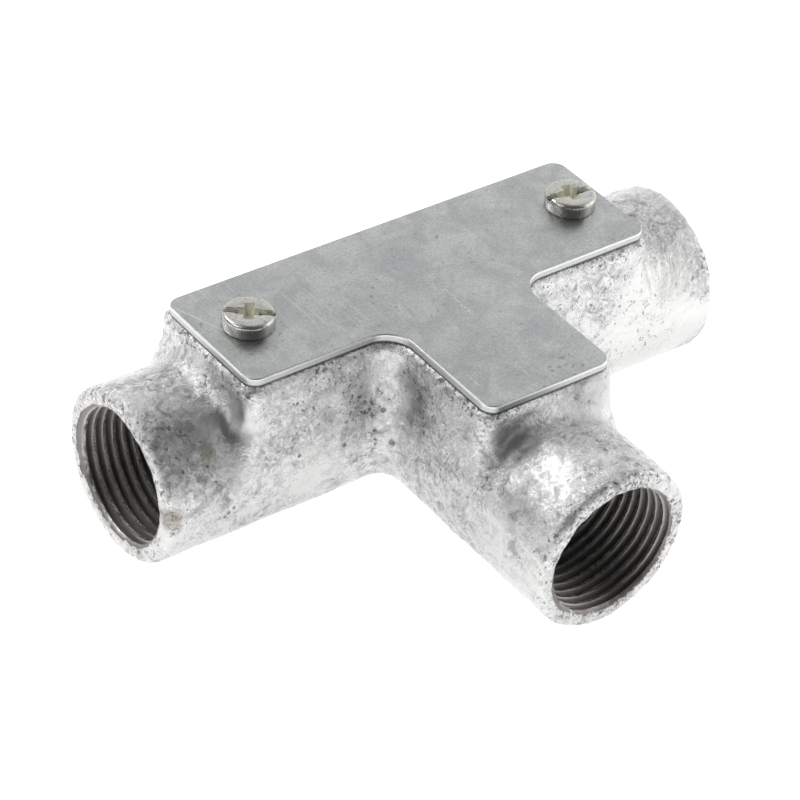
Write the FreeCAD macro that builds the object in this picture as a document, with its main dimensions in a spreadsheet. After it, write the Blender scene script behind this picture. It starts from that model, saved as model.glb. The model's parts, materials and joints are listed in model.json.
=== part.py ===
"""Inspection tee for 20 mm metal conduit: a galvanised casting, its cover and two screws.

All sizes are millimetres. The sub-parts are drawn about the point where the run and the
branch cross: X along the run, -Y along the branch, +Z out through the cover. Placements
then stand the tee on its round underside with its footprint centred on the origin.
"""
import FreeCAD, Part
import math
import os
import Sketcher
from FreeCAD import Vector

SIZES = (
    # casting, outside
    ("run_reach", 45.5, "crossing to either mouth of the run"),
    ("branch_reach", 45.0, "crossing to the mouth of the branch"),
    ("socket_radius", 12.05, "outside of the three threaded sockets"),
    ("belly_radius", 12.0, "round underside of the run"),
    ("branch_belly_radius", 11.8, "round underside of the branch, a little shallower"),
    ("rim_height", 15.5, "socket axes up to the flat rim"),
    ("rim_ledge", 0.5, "rim standing out round the cover"),
    ("rim_round", 0.6, "rounding of the rim's outer edge"),
    ("crease_radius", 4.0, "blend between run and branch"),
    ("corner_radius", 2.0, "upright corners at the end walls"),
    ("socket_fillet", 2.5, "blend from end wall to socket"),
    ("mouth_round", 0.9, "rounding of the socket's outer edge"),
    # casting, inside
    ("wall", 2.4, "wall round the wiring space"),
    ("thread_diameter", 18.376, "minor diameter of the M20 x 1.5 socket thread"),
    ("thread_length", 13.5, "threaded depth of each socket"),
    ("thread_chamfer", 0.5, "chamfer at each mouth"),
    ("passage_diameter", 16.6, "opening past the conduit stop"),
    ("stop_length", 2.0, "least length of the stop, thread to wiring space"),
    ("passage_round", 1.0, "radius that guards the cables at the stop"),
    # cover
    ("cover_length", 65.0, "along the run"),
    ("cover_width", 19.8, "across the run"),
    ("stem_width", 20.1, "across the branch"),
    ("stem_reach", 29.8, "crossing to the cover's edge over the branch"),
    ("cover_thickness", 1.2, "sheet thickness"),
    ("cover_corner", 2.0, "outer corners"),
    ("cover_crotch", 4.0, "inner corners"),
    ("cover_edge", 0.3, "rounding of the upper edge"),
    # screws
    ("left_screw_place", 25.9, "screw axis from the crossing, along the run"),
    ("right_screw_place", 27.0, "screw axis from the crossing, along the run"),
    ("screw_line", 0.3, "screw axes behind the run's own axis"),
    ("screw_land", 5.0, "screw axis to the wiring space"),
    ("tap_diameter", 3.3, "tapped hole for M4"),
    ("thread_clearance", 0.05, "radial, screw core in its tapped hole"),
    ("screw_length", 6.0, "under the head"),
    ("screw_point", 0.4, "chamfer at the tip"),
    ("screw_hole", 4.5, "hole through the cover"),
    ("head_diameter", 7.0, "screw head"),
    ("head_height", 2.1, "screw head"),
    ("head_round", 0.5, "rounding of the head's upper edge"),
    ("slot_width", 1.1, "driving slot"),
    ("slot_depth", 0.8, "driving slot"),
    ("recess_span", 4.6, "cross recess, tip to tip"),
    ("recess_width", 0.9, "one arm of the cross recess"),
    ("recess_depth", 1.4, "cross recess"),
    ("left_screw_turn", 141.6, "slot direction from +X, degrees"),
    ("right_screw_turn", -10.2, "slot direction from +X, degrees"),
)

RIM_END = "(sizes.cover_length / 2 + sizes.rim_ledge)"
RIM_HALF_WIDTH = "(sizes.cover_width / 2 + sizes.rim_ledge)"
STEM_END = "(sizes.stem_reach + sizes.rim_ledge)"
STEM_HALF_WIDTH = "(sizes.stem_width / 2 + sizes.rim_ledge)"
NEAREST_SCREW = "min(sizes.left_screw_place; sizes.right_screw_place)"
STOP_DEPTH = "(sizes.thread_length + sizes.stop_length)"
RUN_CAVITY_END = f"min({NEAREST_SCREW} - sizes.screw_land; sizes.run_reach - {STOP_DEPTH})"
BRANCH_CAVITY_END = f"min({STEM_END} - sizes.wall; sizes.branch_reach - {STOP_DEPTH})"
PASSAGE = "(sizes.passage_diameter / 2)"
THREAD = "(sizes.thread_diameter / 2)"
PAST_CORNERS = "(2 * sizes.rim_height)"
RUN_LINE_Y = "(sizes.branch_reach - sizes.belly_radius) / 2"
COVER_TOP = "(sizes.rim_height + sizes.cover_thickness)"
NEAR = 0.01
DEEP_ENOUGH = 1.0

doc = FreeCAD.newDocument("inspection_tee")


def make_sheet():
    """Fill the spreadsheet: one row a size, its name as the alias."""
    sheet = doc.addObject("Spreadsheet::Sheet", "sizes")
    for row, (name, value, note) in enumerate(SIZES, start=1):
        sheet.set(f"A{row}", name)
        sheet.set(f"B{row}", str(value))
        sheet.set(f"C{row}", note)
        sheet.setAlias(f"B{row}", name)
    doc.recompute()


def size(expression):
    """Number of millimetres that an expression in the sheet's names comes to."""
    return float(doc.sizes.evalExpression(expression))


def origin_plane(body, role):
    return next(plane for plane in body.Origin.OriginFeatures if plane.Role == role)


def make_sketch(body, name, role, height=None):
    """Sketch on one of the body's own origin planes, raised by an expression if given."""
    sketch = body.newObject("Sketcher::SketchObject", name)
    sketch.AttachmentSupport = [(origin_plane(body, role), "")]
    sketch.MapMode = "FlatFace"
    if height:
        sketch.setExpression("AttachmentOffset.Base.z", height)
    return sketch


def bind(sketch, kind, *where_and_expression):
    """Dimension in a sketch, driven by an expression."""
    *where, expression = where_and_expression
    index = sketch.addConstraint(Sketcher.Constraint(kind, *where, size(expression)))
    sketch.setExpression(f"Constraints[{index}]", expression)


def place_point(sketch, curve, end, across, up):
    """Hold one end of a curve at a place measured from the sketch's origin."""
    for kind, expression, axis in (("DistanceX", across, -2), ("DistanceY", up, -1)):
        if expression == "0":
            sketch.addConstraint(Sketcher.Constraint("PointOnObject", curve, end, axis))
        else:
            bind(sketch, kind, -1, 1, curve, end, expression)


def arc_between(start, finish, radius, bend):
    """Short arc from start to finish, leftwards (bend 1) or rightwards (bend -1)."""
    chord = finish - start
    rise = math.sqrt(max(radius ** 2 - (chord.Length / 2) ** 2, 0))
    left = Vector(-chord.y, chord.x, 0).normalize()
    centre = (start + finish) / 2 + left * rise * bend
    first, last = (start, finish) if bend > 0 else (finish, start)
    angles = [math.atan2(p.y - centre.y, p.x - centre.x) for p in (first, last)]
    if angles[1] < angles[0]:
        angles[1] += 2 * math.pi
    return Part.ArcOfCircle(Part.Circle(centre, Vector(0, 0, 1), radius), *angles)


def draw_outline(sketch, corners):
    """Closed outline. A corner is (across, up), or (across, up, radius, bend) where an
    arc runs from it to the next one; places and radii are expressions."""
    points = [Vector(size(corner[0]), size(corner[1]), 0) for corner in corners]
    ends = []
    for corner, here, after in zip(corners, points, points[1:] + points[:1]):
        if len(corner) == 2:
            curve = sketch.addGeometry(Part.LineSegment(here, after))
            ends.append((curve, 1, 2))
            continue
        radius, bend = corner[2:]
        curve = sketch.addGeometry(arc_between(here, after, size(radius), bend))
        bind(sketch, "Radius", curve, radius)
        ends.append((curve, 1, 2) if bend > 0 else (curve, 2, 1))
    for (curve, _, finish), (following, start, _) in zip(ends, ends[1:] + ends[:1]):
        sketch.addConstraint(Sketcher.Constraint("Coincident", curve, finish, following, start))
    for (curve, start, _), corner in zip(ends, corners):
        place_point(sketch, curve, start, *corner[:2])


def draw_trough(sketch, half_width, radius):
    """U section up to the rim: two sides tangent to a round bottom about the origin."""
    half, rad, top = size(half_width), size(radius), size("sizes.rim_height")
    lean = math.asin(rad / math.hypot(half, top)) - math.atan2(half, top)
    foot = Vector(rad * math.cos(lean), rad * math.sin(lean), 0)
    rim = Vector(half, top, 0)
    circle = Part.Circle(Vector(0, 0, 0), Vector(0, 0, 1), rad)
    flat = sketch.addGeometry(Part.LineSegment(Vector(-half, top, 0), rim))
    right = sketch.addGeometry(Part.LineSegment(rim, foot))
    left = sketch.addGeometry(
        Part.LineSegment(Vector(-foot.x, foot.y, 0), Vector(-half, top, 0)))
    bottom = sketch.addGeometry(Part.ArcOfCircle(circle, math.pi - lean, 2 * math.pi + lean))
    sketch.addConstraint([
        Sketcher.Constraint("Coincident", bottom, 3, -1, 1),
        Sketcher.Constraint("Coincident", flat, 2, right, 1),
        Sketcher.Constraint("Coincident", left, 2, flat, 1),
        Sketcher.Constraint("Tangent", right, 2, bottom, 2),
        Sketcher.Constraint("Tangent", left, 1, bottom, 1),
        Sketcher.Constraint("Symmetric", flat, 1, flat, 2, -2),
    ])
    bind(sketch, "Radius", bottom, radius)
    place_point(sketch, flat, 2, half_width, "sizes.rim_height")


def draw_turning(sketch, facing, end_wall, reach):
    """What is turned away round a socket: the end wall, a fillet and the barrel."""
    barrel, fillet = "sizes.socket_radius", "sizes.socket_fillet"
    draw_outline(sketch, (
        (f"{facing} * {end_wall}", PAST_CORNERS),
        (f"{facing} * {end_wall}", f"{barrel} + {fillet}", fillet, facing),
        (f"{facing} * ({end_wall} + {fillet})", barrel),
        (f"{facing} * ({reach} + {fillet})", barrel),
        (f"{facing} * ({reach} + {fillet})", PAST_CORNERS),
    ))


def draw_entry(sketch, facing, cavity_end, reach):
    """Half section of a way in: chamfered thread, conduit stop and rounded passage.
    A second outline takes the sharp edge off the mouth."""
    guard, chamfer = "sizes.passage_round", "sizes.thread_chamfer"
    draw_outline(sketch, (
        ("0", "0"),
        (f"{facing} * {reach}", "0"),
        (f"{facing} * {reach}", f"{THREAD} + {chamfer}"),
        (f"{facing} * ({reach} - {chamfer})", THREAD),
        (f"{facing} * ({reach} - sizes.thread_length)", THREAD),
        (f"{facing} * ({reach} - sizes.thread_length)", PASSAGE),
        (f"{facing} * ({cavity_end} + {guard})", PASSAGE, guard, -facing),
        (f"{facing} * {cavity_end}", f"{PASSAGE} + {guard}"),
        ("0", f"{PASSAGE} + {guard}"),
    ))
    barrel, mouth = "sizes.socket_radius", "sizes.mouth_round"
    draw_outline(sketch, (
        (f"{facing} * ({reach} - {mouth})", barrel, mouth, -facing),
        (f"{facing} * {reach}", f"{barrel} - {mouth}"),
        (f"{facing} * ({reach} + {mouth})", f"{barrel} - {mouth}"),
        (f"{facing} * ({reach} + {mouth})", f"{barrel} + {mouth}"),
        (f"{facing} * ({reach} - {mouth})", f"{barrel} + {mouth}"),
    ))


def extrude(body, kind, name, sketch, length, symmetric=False, backwards=False):
    """Pad or Pocket of a sketch; its length is an expression."""
    feature = body.newObject(f"PartDesign::{kind}", name)
    feature.Profile = (sketch, [""])
    feature.SideType = "Symmetric" if symmetric else "One side"
    feature.Reversed = backwards
    feature.setExpression("Length", length)
    return feature


def spin(body, kind, name, sketch, axis):
    """Revolution or Groove of a sketch right round one of its own axes."""
    feature = body.newObject(f"PartDesign::{kind}", name)
    feature.Profile = (sketch, [""])
    feature.ReferenceAxis = (sketch, [axis])
    feature.Angle = 360
    return feature


def drill(body, name, sketch, diameter, depth=None):
    """Holes at a sketch's circles, right through the piece if no depth is given."""
    doc.recompute()
    hole = body.newObject("PartDesign::Hole", name)
    hole.Profile = (sketch, [""])
    hole.DrillPoint = "Flat"
    hole.DepthType = "Dimension" if depth else "ThroughAll"
    hole.setExpression("Diameter", diameter)
    if depth:
        hole.setExpression("Depth", depth)
    return hole


def mirror_along_run(body, name, feature):
    """The same feature at the run's other end."""
    mirrored = body.newObject("PartDesign::Mirrored", name)
    mirrored.Originals = [feature]
    mirrored.MirrorPlane = (origin_plane(body, "YZ_Plane"), [""])
    body.Tip = mirrored
    return mirrored


def round_edges(body, name, base, radius, wanted):
    """Fillet those edges of a feature whose bounding box passes a test."""
    doc.recompute()
    names = [f"Edge{number}" for number, edge in enumerate(base.Shape.Edges, start=1)
             if wanted(edge.BoundBox)]
    fillet = body.newObject("PartDesign::Fillet", name)
    fillet.Base = (base, names)
    fillet.setExpression("Radius", radius)
    return fillet


def screw_places(sketch, diameter):
    """Two circles, one at each screw."""
    for along in ("-sizes.left_screw_place", "sizes.right_screw_place"):
        centre = Vector(size(along), size("sizes.screw_line"), 0)
        circle = Part.Circle(centre, Vector(0, 0, 1), size(diameter) / 2)
        curve = sketch.addGeometry(circle)
        bind(sketch, "Diameter", curve, diameter)
        place_point(sketch, curve, 3, along, "sizes.screw_line")


def shape_outside(casting):
    """Run and branch troughs, their sockets, and the blends between them."""
    across_run = make_sketch(casting, "run_section", "YZ_Plane")
    draw_trough(across_run, RIM_HALF_WIDTH, "sizes.belly_radius")
    extrude(casting, "Pad", "run", across_run, "2 * sizes.run_reach", symmetric=True)
    run_profile = make_sketch(casting, "run_turning", "XZ_Plane")
    draw_turning(run_profile, 1, RIM_END, "sizes.run_reach")
    right_socket = spin(casting, "Groove", "right_socket", run_profile, "H_Axis")
    mirror_along_run(casting, "left_socket", right_socket)

    across_branch = make_sketch(casting, "branch_section", "XZ_Plane")
    draw_trough(across_branch, STEM_HALF_WIDTH, "sizes.branch_belly_radius")
    extrude(casting, "Pad", "branch", across_branch, "sizes.branch_reach")
    branch_profile = make_sketch(casting, "branch_turning", "YZ_Plane")
    draw_turning(branch_profile, -1, STEM_END, "sizes.branch_reach")
    outside = spin(casting, "Groove", "branch_socket", branch_profile, "H_Axis")

    reach = size("sizes.socket_radius") + NEAR
    rim, run_end, stem_end = (size(e) for e in ("sizes.rim_height", RIM_END, STEM_END))

    def in_crossing(box):
        return (box.YMin > -reach and box.YMax < reach and box.XMin > -reach
                and box.XMax < reach and box.ZLength > DEEP_ENOUGH)

    def at_end_wall(box):
        at_run_end = box.XLength < NEAR and abs(abs(box.Center.x) - run_end) < NEAR
        at_stem_end = box.YLength < NEAR and abs(box.Center.y + stem_end) < NEAR
        return ((at_run_end or at_stem_end) and box.ZLength > DEEP_ENOUGH
                and abs(box.ZMax - rim) < NEAR)

    def on_rim(box):
        return abs(box.ZMin - rim) < NEAR

    creases = round_edges(casting, "creases", outside, "sizes.crease_radius", in_crossing)
    corners = round_edges(casting, "corners", creases, "sizes.corner_radius", at_end_wall)
    round_edges(casting, "rim_edge", corners, "sizes.rim_round", on_rim)


def shape_inside(casting):
    """Wiring space, three threaded ways in with their stops, and two tapped holes that
    go down into the passages."""
    along_run = make_sketch(casting, "run_space_section", "YZ_Plane")
    draw_trough(along_run, f"{RIM_HALF_WIDTH} - sizes.wall", "sizes.belly_radius - sizes.wall")
    extrude(casting, "Pocket", "run_space", along_run, f"2 * {RUN_CAVITY_END}", symmetric=True)
    along_branch = make_sketch(casting, "branch_space_section", "XZ_Plane")
    draw_trough(along_branch, f"{STEM_HALF_WIDTH} - sizes.wall",
                "sizes.branch_belly_radius - sizes.wall")
    extrude(casting, "Pocket", "branch_space", along_branch, BRANCH_CAVITY_END, backwards=True)

    run_entry = make_sketch(casting, "run_entry_profile", "XZ_Plane")
    draw_entry(run_entry, 1, RUN_CAVITY_END, "sizes.run_reach")
    right_entry = spin(casting, "Groove", "right_entry", run_entry, "H_Axis")
    mirror_along_run(casting, "left_entry", right_entry)
    branch_entry = make_sketch(casting, "branch_entry_profile", "YZ_Plane")
    draw_entry(branch_entry, -1, BRANCH_CAVITY_END, "sizes.branch_reach")
    spin(casting, "Groove", "branch_way_in", branch_entry, "H_Axis")

    on_top = make_sketch(casting, "tapped_places", "XY_Plane", "sizes.rim_height")
    screw_places(on_top, "sizes.tap_diameter")
    drill(casting, "tapped_holes", on_top, "sizes.tap_diameter", "sizes.rim_height")


def make_casting():
    """One hollow iron casting: trough body, three sockets, all one piece."""
    casting = doc.addObject("PartDesign::Body", "casting")
    shape_outside(casting)
    shape_inside(casting)
    return casting


def make_cover():
    """Flat T-shaped sheet with rounded corners, its upper edge eased."""
    cover = doc.addObject("PartDesign::Body", "cover")
    half_length, half_width = "sizes.cover_length / 2", "sizes.cover_width / 2"
    half_stem = "sizes.stem_width / 2"
    outline = make_sketch(cover, "outline", "XY_Plane", "sizes.rim_height")
    draw_outline(outline, (
        (f"-{half_length}", f"-{half_width}"),
        (f"-{half_stem}", f"-{half_width}"),
        (f"-{half_stem}", "-sizes.stem_reach"),
        (half_stem, "-sizes.stem_reach"),
        (half_stem, f"-{half_width}"),
        (half_length, f"-{half_width}"),
        (half_length, half_width),
        (f"-{half_length}", half_width),
    ))
    sheet = extrude(cover, "Pad", "sheet", outline, "sizes.cover_thickness")
    stem, front, top = (size(e) for e in (half_stem, half_width, COVER_TOP))

    def upright(box):
        return box.XLength < NEAR and box.YLength < NEAR

    def in_crotch(box):
        return (upright(box) and abs(abs(box.Center.x) - stem) < NEAR
                and abs(box.Center.y + front) < NEAR)

    def on_top(box):
        return abs(box.ZMin - top) < NEAR

    corners = round_edges(cover, "corners", sheet, "sizes.cover_corner",
                          lambda box: upright(box) and not in_crotch(box))
    rounded = round_edges(cover, "crotches", corners, "sizes.cover_crotch", in_crotch)
    round_edges(cover, "upper_edge", rounded, "sizes.cover_edge", on_top)
    places = make_sketch(cover, "screw_places", "XY_Plane", COVER_TOP)
    screw_places(places, "sizes.screw_hole")
    drill(cover, "screw_holes", places, "sizes.screw_hole")
    return cover


def make_screw(label, place, turn):
    """M4 screw with a rounded flat head, a driving slot and a cross recess."""
    screw = doc.addObject("PartDesign::Body", label)
    core = "(sizes.tap_diameter / 2 - sizes.thread_clearance)"
    head = "sizes.head_diameter / 2"
    profile = make_sketch(screw, "profile", "XZ_Plane")
    draw_outline(profile, (
        ("0", "-sizes.screw_length"),
        (f"{core} - sizes.screw_point", "-sizes.screw_length"),
        (core, "sizes.screw_point - sizes.screw_length"),
        (core, "0"),
        (head, "0"),
        (head, "sizes.head_height - sizes.head_round", "sizes.head_round", 1),
        (f"{head} - sizes.head_round", "sizes.head_height"),
        ("0", "sizes.head_height"),
    ))
    spin(screw, "Revolution", "turned", profile, "V_Axis")
    slot = make_sketch(screw, "slot_outline", "XY_Plane", "sizes.head_height")
    draw_bar(slot, "sizes.head_diameter", "sizes.slot_width")
    extrude(screw, "Pocket", "slot", slot, "sizes.slot_depth")
    for name, length, breadth in (("recess_along", "recess_span", "recess_width"),
                                  ("recess_across", "recess_width", "recess_span")):
        arm = make_sketch(screw, f"{name}_outline", "XY_Plane", "sizes.head_height")
        draw_bar(arm, f"sizes.{length}", f"sizes.{breadth}")
        extrude(screw, "Pocket", name, arm, "sizes.recess_depth")
    screw.setExpression("Placement.Base.x", place)
    screw.setExpression("Placement.Base.y", f"{RUN_LINE_Y} + sizes.screw_line")
    screw.setExpression("Placement.Base.z", f"sizes.belly_radius + {COVER_TOP}")
    screw.setExpression("Placement.Rotation.Angle", f"{turn} * 1 deg")
    return screw


def draw_bar(sketch, along, across):
    """Rectangle centred on the sketch's origin."""
    half, breadth = f"{along} / 2", f"{across} / 2"
    draw_outline(sketch, ((f"-{half}", f"-{breadth}"), (half, f"-{breadth}"),
                          (half, breadth), (f"-{half}", breadth)))


def stand_up(body):
    """Move a piece drawn about the crossing so that the tee stands on its underside."""
    body.setExpression("Placement.Base.y", RUN_LINE_Y)
    body.setExpression("Placement.Base.z", "sizes.belly_radius")


def check_document():
    """Stop if any object failed to compute or any piece isn't one valid solid."""
    doc.recompute()
    for item in doc.Objects:
        if "Invalid" in item.State or "Error" in item.State:
            raise RuntimeError(f"{item.Name}: {item.State} {item.getStatusString()}")
    for body in doc.findObjects("PartDesign::Body"):
        shape = body.Shape
        if shape.isNull() or not shape.isValid() or len(shape.Solids) != 1:
            raise RuntimeError(f"{body.Label}: no single valid solid")


def main():
    make_sheet()
    for piece in (make_casting(), make_cover()):
        stand_up(piece)
    make_screw("screw_left", "-sizes.left_screw_place", "sizes.left_screw_turn")
    make_screw("screw_right", "sizes.right_screw_place", "sizes.right_screw_turn")
    check_document()
    os.makedirs("parts", exist_ok=True)
    for body in doc.findObjects("PartDesign::Body"):
        body.Shape.exportStep(f"parts/{body.Label}.step")
        box = body.Shape.BoundBox
        print(body.Label, round(body.Shape.Volume, 1), "mm3,",
              "x", round(box.XMin, 2), round(box.XMax, 2), "y", round(box.YMin, 2),
              round(box.YMax, 2), "z", round(box.ZMin, 2), round(box.ZMax, 2))


main()
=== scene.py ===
"""Looks of a galvanised inspection tee for 20 mm metal conduit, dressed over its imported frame.

Lengths are metres, in the frame's own axes: +X along the run, -Y out of the branch and +Z out
through the cover. MM turns the trade's millimetres into metres.
"""
import json
import math

import bmesh
import bpy
from mathutils import Matrix, Vector


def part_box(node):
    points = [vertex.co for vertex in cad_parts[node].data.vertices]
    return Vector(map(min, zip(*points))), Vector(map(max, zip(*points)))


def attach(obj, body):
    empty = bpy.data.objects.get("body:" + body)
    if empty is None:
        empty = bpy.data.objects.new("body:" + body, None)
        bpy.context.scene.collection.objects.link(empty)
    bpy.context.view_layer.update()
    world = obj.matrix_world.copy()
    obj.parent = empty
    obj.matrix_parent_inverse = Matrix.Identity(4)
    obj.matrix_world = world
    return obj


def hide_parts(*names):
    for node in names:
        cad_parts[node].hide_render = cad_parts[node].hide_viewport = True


bl_info = {
    "name": "Conduit inspection tee",
    "version": (1, 0, 0),
    "blender": (4, 5, 0),
    "location": "3D View > Sidebar > Inspection Tee",
    "description": "Galvanised skin, cut threads, cover, screws and stage of a conduit tee",
    "category": "Add Mesh",
}

MM = 0.001
FLAT = 0.99             # a face whose normal's Z is past this lies flat
ROUND = 128             # sides of the sockets' bores
SMALL_ROUND = 48        # sides of the shanks and of the tapped holes
SOFT_EDGE = math.radians(40)    # the sharpest bend that is shaded smooth

# Each lamp's offset from the point that the camera looks at, and its side, in metres.
LAMPS = {
    "key": ((-0.25, 0.5, 0.6), 0.32),
    "side": ((0.37, -0.22, 0.18), 0.34),
    "left": ((-0.45, 0.05, 0.35), 0.3),
}

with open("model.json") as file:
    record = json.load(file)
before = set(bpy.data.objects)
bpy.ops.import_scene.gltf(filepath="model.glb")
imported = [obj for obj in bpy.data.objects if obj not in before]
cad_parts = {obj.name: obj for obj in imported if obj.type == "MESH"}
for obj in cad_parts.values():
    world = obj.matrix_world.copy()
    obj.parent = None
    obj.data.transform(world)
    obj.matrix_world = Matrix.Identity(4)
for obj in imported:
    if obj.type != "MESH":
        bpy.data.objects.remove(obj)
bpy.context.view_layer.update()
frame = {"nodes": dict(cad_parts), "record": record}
ENTRIES = {mount["name"]: mount for mount in frame["record"]["mounts"]}
COVER_LOW, COVER_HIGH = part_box("cover")


class TeeShape(bpy.types.PropertyGroup):
    """Sizes that the frame doesn't give: surface relief, threads and screw details."""
    grain: bpy.props.FloatProperty(
        name="Grain", description="Side of the cells that the cast skin is remade from",
        default=0.5 * MM, subtype="DISTANCE", unit="LENGTH")
    swell: bpy.props.FloatProperty(
        name="Swell", description="Depth of the broad waves left by the sand mould",
        default=0.28 * MM, subtype="DISTANCE", unit="LENGTH")
    peel: bpy.props.FloatProperty(
        name="Peel", description="Depth of the orange-peel relief of the dipped zinc",
        default=0.22 * MM, subtype="DISTANCE", unit="LENGTH")
    crumble: bpy.props.FloatProperty(
        name="Crumble", description="Depth of the rough beads on the rim and the mouths",
        default=0.14 * MM, subtype="DISTANCE", unit="LENGTH")
    thread_pitch: bpy.props.FloatProperty(
        name="Thread pitch", description="Pitch of the M20 socket thread",
        default=1.5 * MM, subtype="DISTANCE", unit="LENGTH")
    thread_major: bpy.props.FloatProperty(
        name="Thread major diameter", description="Root of the socket thread",
        default=20.0 * MM, subtype="DISTANCE", unit="LENGTH")
    mouth_flare: bpy.props.FloatProperty(
        name="Mouth flare", description="Chamfer in front of the socket thread",
        default=0.5 * MM, subtype="DISTANCE", unit="LENGTH")
    cover_roll: bpy.props.FloatProperty(
        name="Cover roll", description="Rounding of the cover sheet's upper edge",
        default=0.2 * MM, subtype="DISTANCE", unit="LENGTH")
    screw_pitch: bpy.props.FloatProperty(
        name="Screw pitch", description="Pitch of the M4 cover screws",
        default=0.7 * MM, subtype="DISTANCE", unit="LENGTH")
    tapped_hole: bpy.props.FloatProperty(
        name="Tapped hole", description="Diameter of the holes that take the cover screws",
        default=3.4 * MM, subtype="DISTANCE", unit="LENGTH")
    thread_depth: bpy.props.FloatProperty(
        name="Screw thread depth", description="Crest to root on a cover screw",
        default=0.3 * MM, subtype="DISTANCE", unit="LENGTH")
    head_round: bpy.props.FloatProperty(
        name="Head rounding", description="Rounding of a screw head's upper edge",
        default=0.6 * MM, subtype="DISTANCE", unit="LENGTH")
    slot_width: bpy.props.FloatProperty(
        name="Slot width", description="Straight driving slot",
        default=1.1 * MM, subtype="DISTANCE", unit="LENGTH")
    slot_depth: bpy.props.FloatProperty(
        name="Slot depth", description="Straight driving slot",
        default=0.65 * MM, subtype="DISTANCE", unit="LENGTH")
    recess_span: bpy.props.FloatProperty(
        name="Recess span", description="Cross recess, tip to tip",
        default=4.6 * MM, subtype="DISTANCE", unit="LENGTH")
    recess_depth: bpy.props.FloatProperty(
        name="Recess depth", description="Cross recess at its middle",
        default=1.4 * MM, subtype="DISTANCE", unit="LENGTH")
    left_turn: bpy.props.FloatProperty(
        name="Left screw turn", description="Where the left screw's slot points, from +X",
        default=math.radians(141.6), subtype="ANGLE", unit="ROTATION")
    right_turn: bpy.props.FloatProperty(
        name="Right screw turn", description="Where the right screw's slot points, from +X",
        default=math.radians(-10.2), subtype="ANGLE", unit="ROTATION")


class TeeColours(bpy.types.PropertyGroup):
    """Finishes, as sRGB hex colours."""
    zinc: bpy.props.StringProperty(
        name="Zinc", description="Bright dipped zinc", default="E9E9E8")
    dull_zinc: bpy.props.StringProperty(
        name="Dull zinc", description="Matt grey areas of the dipped zinc", default="9FA0A1")
    # Dark dross and specks; also painted shade in pits, blow holes and gouges, and along the
    # cover's foot.
    dross_and_shade: bpy.props.StringProperty(
        name="Dross", description="Dark pits in the zinc", default="3A3733")
    # Painted shade in the hollows of the zinc's wrinkles.
    crevice_shade: bpy.props.StringProperty(
        name="Crevice", description="Grime in the wrinkles of the zinc", default="77777A")
    stain: bpy.props.StringProperty(
        name="Stain", description="Brown flux left by the dip", default="857A6B")
    # Thread roots, darker as painted shade in the grooves.
    shaded_root: bpy.props.StringProperty(
        name="Cut metal", description="Oily roots of the threads", default="98938F")
    crest: bpy.props.StringProperty(
        name="Crest", description="Rubbed crests of the threads", default="BAB8B6")
    sheet: bpy.props.StringProperty(
        name="Sheet", description="Zinc-plated cover sheet", default="D0D2D1")
    worn_sheet: bpy.props.StringProperty(
        name="Worn sheet", description="Duller clouds on the cover", default="BCBFBF")
    # Bright edge band, partly rubbed metal and partly painted highlight.
    rubbed_edge_highlight: bpy.props.StringProperty(
        name="Rubbed edge", description="Cover's edges, rubbed bright", default="F2F3F2")
    frost: bpy.props.StringProperty(
        name="Frost", description="Fine dark grain of the cover's plating", default="8E9193")
    plating: bpy.props.StringProperty(
        name="Plating", description="Bright zinc on the screws", default="CDCCC6")
    # Pale film in the recess; partly a painted sheen that lightens the shaded recess.
    film_and_sheen: bpy.props.StringProperty(
        name="Film", description="Pale passivation left in the screws' recess", default="E2E2CA")


class TeeStage(bpy.types.PropertyGroup):
    """Camera and lamps."""
    heading: bpy.props.FloatProperty(
        name="Heading", description="Where the camera looks, from +Y towards +X",
        default=math.radians(39.74), subtype="ANGLE", unit="ROTATION")
    dip: bpy.props.FloatProperty(
        name="Dip", description="How far the camera looks down",
        default=math.radians(38.11), subtype="ANGLE", unit="ROTATION")
    roll: bpy.props.FloatProperty(
        name="Roll", description="Camera's turn about its own line of sight",
        default=math.radians(5.39), subtype="ANGLE", unit="ROTATION")
    distance: bpy.props.FloatProperty(
        name="Distance", description="Camera to the point that it looks at",
        default=399.3 * MM, subtype="DISTANCE", unit="LENGTH")
    aim: bpy.props.FloatVectorProperty(
        name="Aim", description="Point in the middle of the picture",
        default=(-7.76 * MM, 7.05 * MM, 15.59 * MM), subtype="XYZ", unit="LENGTH")
    lens: bpy.props.FloatProperty(
        name="Lens", description="Focal length on a 36 mm sensor, in millimetres",
        default=136.83)
    key_power: bpy.props.FloatProperty(
        name="Key power", description="Soft lamp behind and to the left, in watts", default=1.75)
    side_power: bpy.props.FloatProperty(
        name="Side power", description="Weak lamp low on the right, in watts", default=0.42)
    left_power: bpy.props.FloatProperty(
        name="Left power", description="Weak lamp on the left, in watts", default=0.5)
    table_light: bpy.props.FloatProperty(
        name="Table light", description="Brightness of the surroundings behind", default=0.8)
    window_light: bpy.props.FloatProperty(
        name="Window light", description="What a bright wall behind on the right adds",
        default=0.24)
    room_light: bpy.props.FloatProperty(
        name="Room light", description="Brightness of the surroundings in front", default=0.1)
    floor_glow: bpy.props.FloatProperty(
        name="Floor glow", description="What the floor adds where it is seen", default=0.74)


def linear(code):
    """Linear colour of an sRGB hex code, with alpha, by the standard's own curve."""
    parts = [int(code[start:start + 2], 16) / 255 for start in (0, 2, 4)]
    return [part / 12.92 if part <= 0.04045 else ((part + 0.055) / 1.055) ** 2.4
            for part in parts] + [1.0]


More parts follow.
